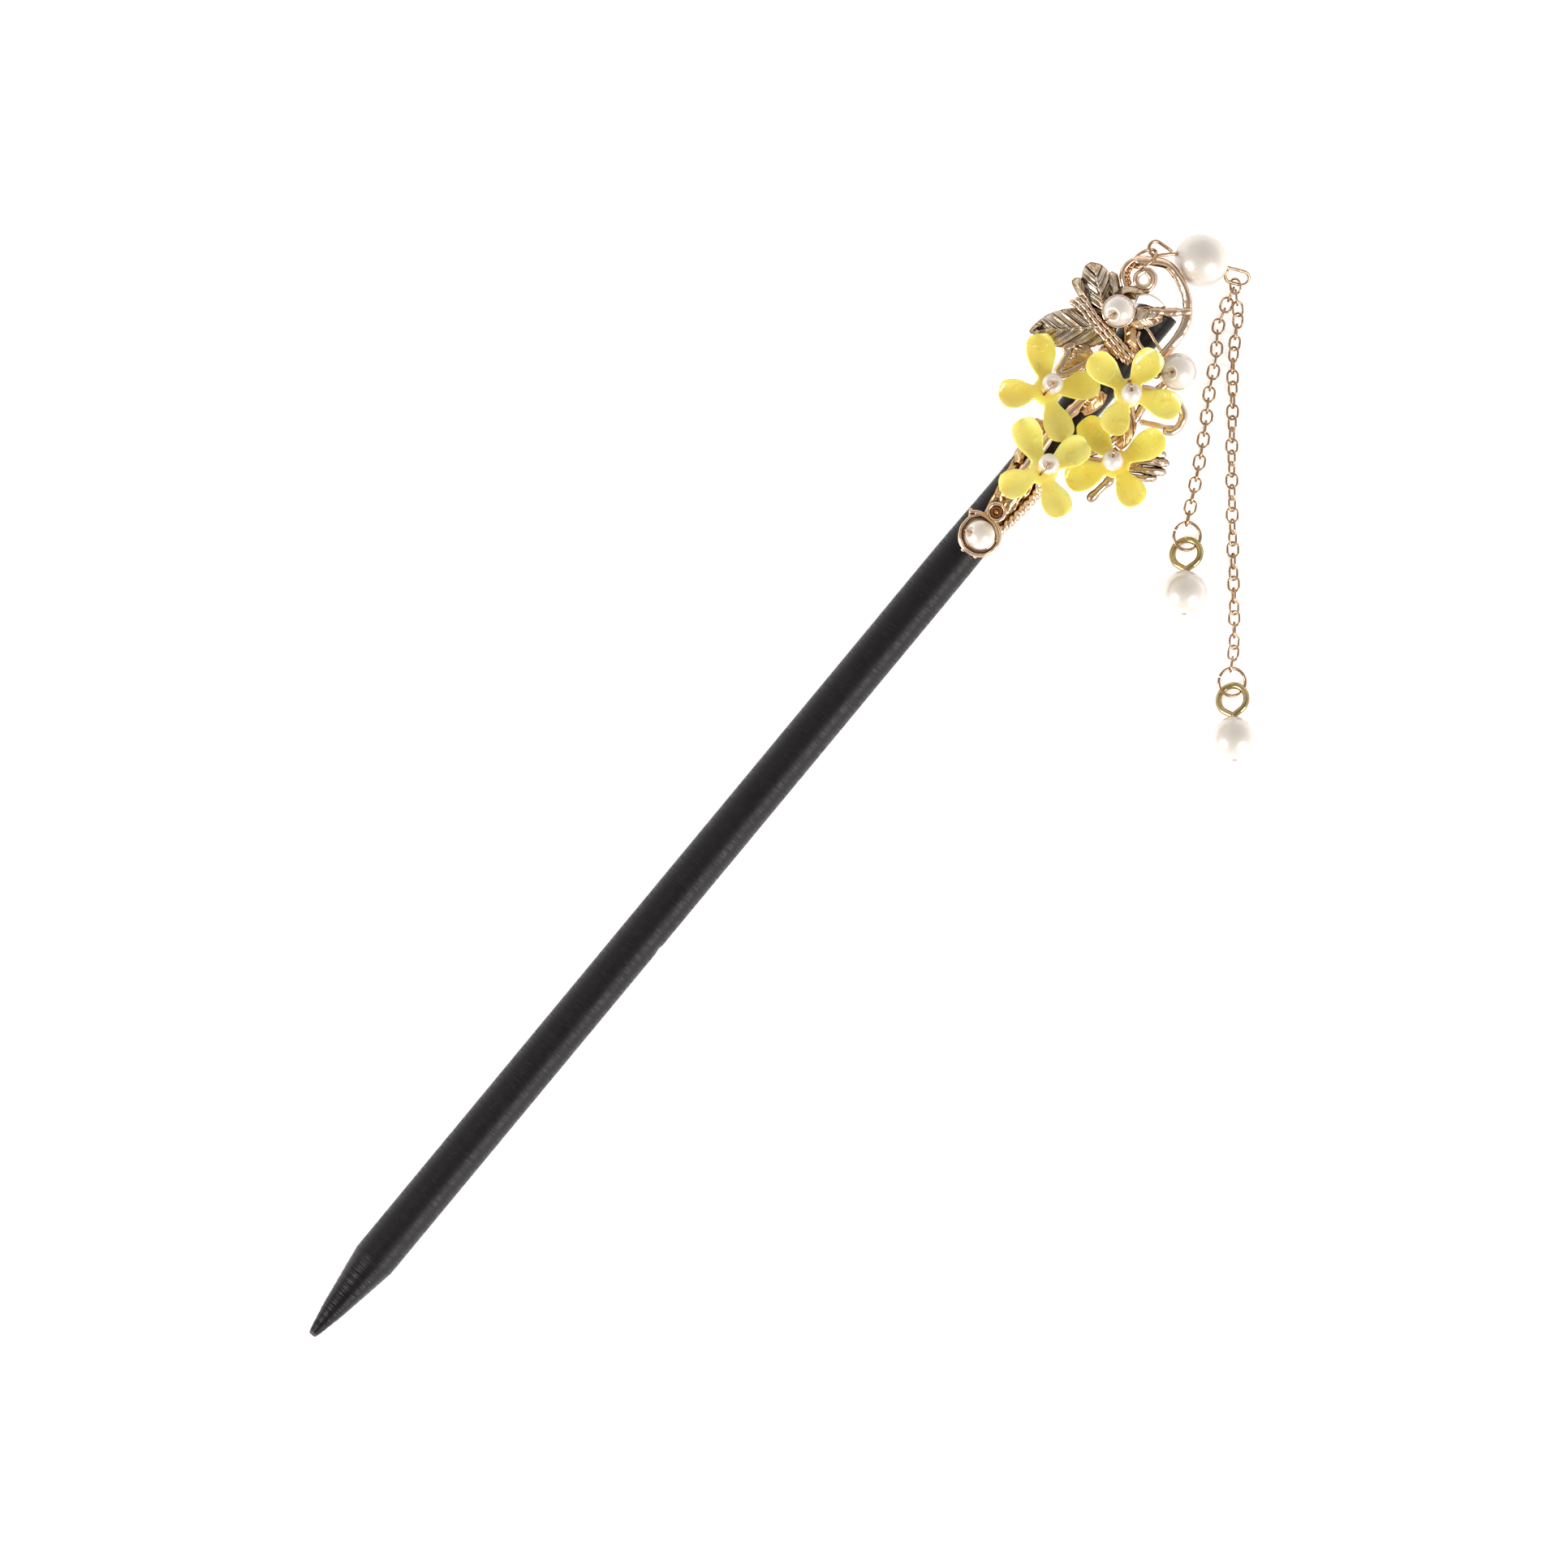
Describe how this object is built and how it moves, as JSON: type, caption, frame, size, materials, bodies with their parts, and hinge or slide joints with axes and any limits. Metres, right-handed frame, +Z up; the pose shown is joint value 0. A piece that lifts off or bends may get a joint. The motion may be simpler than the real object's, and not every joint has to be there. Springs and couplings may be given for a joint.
{
  "type": "hair stick",
  "caption": "Tapered round hair stick with a cast vine ornament, resin blossoms, pearls and a tassel of fine chains with pearl drops.",
  "frame": {"origin": "on the stick's axis, at the end of the plain shaft where the ornament's foot begins", "axes": "+X along the stick from its tip to the ornament, +Z up from the surface the piece lies on to the ornament's face, +Y across the stick, away from the drops"},
  "size_m": [0.1883, 0.0586, 0.0142],
  "materials": {
    "black_lacquer": "satin lacquer over turned wood",
    "champagne_gilt": "polished cast relief with dark recesses",
    "rose_gilt": "polished wire",
    "olive_brass": "polished wire",
    "yellow_resin": "cloudy translucent resin",
    "pearl": "pearl lustre coating"
  },
  "bodies": {
    "root": {"stick": "black_lacquer", "ornament": "champagne_gilt", "flower_1": "yellow_resin", "flower_2": "yellow_resin", "flower_3": "yellow_resin", "flower_4": "yellow_resin", "flower_bead_1": "pearl", "flower_bead_2": "pearl", "flower_bead_3": "pearl", "flower_bead_4": "pearl", "flower_wire_1": "rose_gilt", "flower_wire_2": "rose_gilt", "flower_wire_3": "rose_gilt", "flower_wire_4": "rose_gilt", "pearl_top": "pearl", "pearl_side": "pearl", "pearl_foot": "pearl", "pearl_wire_top": "rose_gilt", "pearl_wire_side": "rose_gilt", "pearl_wire_foot": "rose_gilt", "jump_ring_top": "rose_gilt", "eye_pin": "rose_gilt", "big_pearl": "pearl", "chain_long": "rose_gilt", "chain_short": "rose_gilt", "jump_ring_long": "rose_gilt", "jump_ring_short": "rose_gilt", "eye_loop_long": "olive_brass", "eye_loop_short": "olive_brass", "drop_pearl_long": "pearl", "drop_pearl_short": "pearl"}
  },
  "joints": []
}
